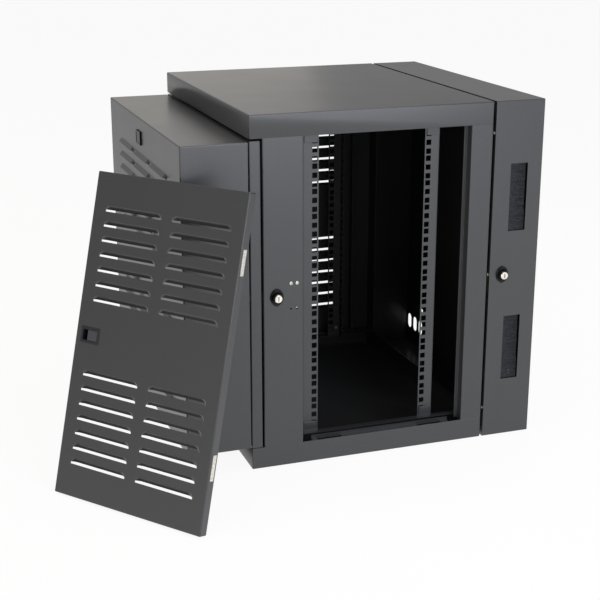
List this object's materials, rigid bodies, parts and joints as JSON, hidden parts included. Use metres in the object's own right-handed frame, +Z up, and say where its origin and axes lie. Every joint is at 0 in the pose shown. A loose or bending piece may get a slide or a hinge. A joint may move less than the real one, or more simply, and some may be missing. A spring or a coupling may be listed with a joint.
{
  "type": "wall mount network cabinet",
  "caption": "Swing-out wall cabinet for rack equipment with a deep louvred front door, lockable sections and lift-off louvred side panels, one removed.",
  "frame": {"origin": "centre of the main body's base, on the floor plane", "axes": "+Z up, +Y towards the wall, -Y out of the front door, +X to the side whose panel is off"},
  "size_m": [0.8019, 0.8982, 0.635],
  "materials": {
    "powder_coat": "fine-textured powder coat",
    "zinc": "zinc plated",
    "nickel": "nickel plated",
    "lock_black": "satin",
    "latch_grey": "satin",
    "bristle": "matt",
    "copper": "plain"
  },
  "bodies": {
    "wall_section": {"wall_frame": "powder_coat", "brush_bristles_lower": "bristle", "brush_bristles_upper": "bristle", "brush_holder_lower": "powder_coat", "brush_holder_upper": "powder_coat", "swing_leaf_wall_lower": "powder_coat", "swing_leaf_wall_upper": "powder_coat", "swing_pin_lower": "zinc", "swing_pin_upper": "zinc", "wall_lock_bezel": "lock_black", "wall_lock_nut": "zinc", "gap_screws": "zinc"},
    "wall_lock": {"wall_lock_cylinder": "nickel", "wall_lock_cam": "zinc", "wall_lock_cam_screw": "zinc"},
    "main_body": {"top_cover": "powder_coat", "bottom_pan": "powder_coat", "front_post_right": "powder_coat", "front_post_left": "powder_coat", "rear_post_right": "powder_coat", "rear_post_left": "powder_coat", "front_rail_right": "powder_coat", "front_rail_left": "powder_coat", "rear_rail_right": "powder_coat", "rear_rail_left": "powder_coat", "bearer_bottom_right": "powder_coat", "bearer_bottom_left": "powder_coat", "bearer_top_right": "powder_coat", "bearer_top_left": "powder_coat", "rail_screws": "zinc", "latch_strike_right": "powder_coat", "latch_strike_left": "powder_coat", "strike_screws": "zinc", "earth_stud": "copper", "swing_leaf_body_lower": "powder_coat", "swing_leaf_body_upper": "powder_coat", "door_lock_bezel": "lock_black", "door_lock_nut": "zinc"},
    "door_lock": {"door_lock_cylinder": "nickel", "door_lock_cam": "zinc", "door_lock_cam_screw": "zinc"},
    "front_door": {"door_frame": "powder_coat", "door_hood": "powder_coat", "hood_screws": "zinc", "door_pin_top": "zinc", "door_pin_bottom": "zinc"},
    "left_panel": {"side_panel_left": "powder_coat", "panel_clips_left": "zinc", "panel_latch_case_left": "lock_black"},
    "left_latch": {"panel_latch_slider_left": "latch_grey"},
    "right_panel": {"side_panel_right": "powder_coat", "panel_clips_right": "zinc", "panel_latch_case_right": "lock_black"},
    "right_latch": {"panel_latch_slider_right": "latch_grey"}
  },
  "joints": [
    {"name": "swing_out", "type": "hinge", "parent": "wall_section", "child": "main_body", "pos_m": [-0.29, 0.2275, 0.3175], "axis": [0, 0, -1], "range_deg": [0, 90]},
    {"name": "door_swing", "type": "hinge", "parent": "main_body", "child": "front_door", "pos_m": [-0.277, -0.215, 0.3161], "axis": [0, 0, -1], "range_deg": [0, 105]},
    {"name": "door_lock_turn", "type": "hinge", "parent": "main_body", "child": "door_lock", "pos_m": [0.285, -0.178, 0.3175], "axis": [-1, 0, 0], "range_deg": [0, 90]},
    {"name": "wall_lock_turn", "type": "hinge", "parent": "wall_section", "child": "wall_lock", "pos_m": [0.285, 0.255, 0.3175], "axis": [-1, 0, 0], "range_deg": [0, 90]},
    {"name": "left_panel_off", "type": "slide", "parent": "main_body", "child": "left_panel", "axis": [-1, 0, 0], "range_m": [0, 0.2]},
    {"name": "left_latch_slide", "type": "slide", "parent": "left_panel", "child": "left_latch", "axis": [0, -1, 0], "range_m": [0, 0.007]},
    {"name": "right_panel_away", "type": "slide", "parent": "front_door", "child": "right_panel", "axis": [0.6212, -0.7837, 0], "range_m": [0, 0.2]},
    {"name": "right_latch_slide", "type": "slide", "parent": "right_panel", "child": "right_latch", "axis": [-0.7837, -0.6212, 0], "range_m": [0, 0.007]}
  ]
}
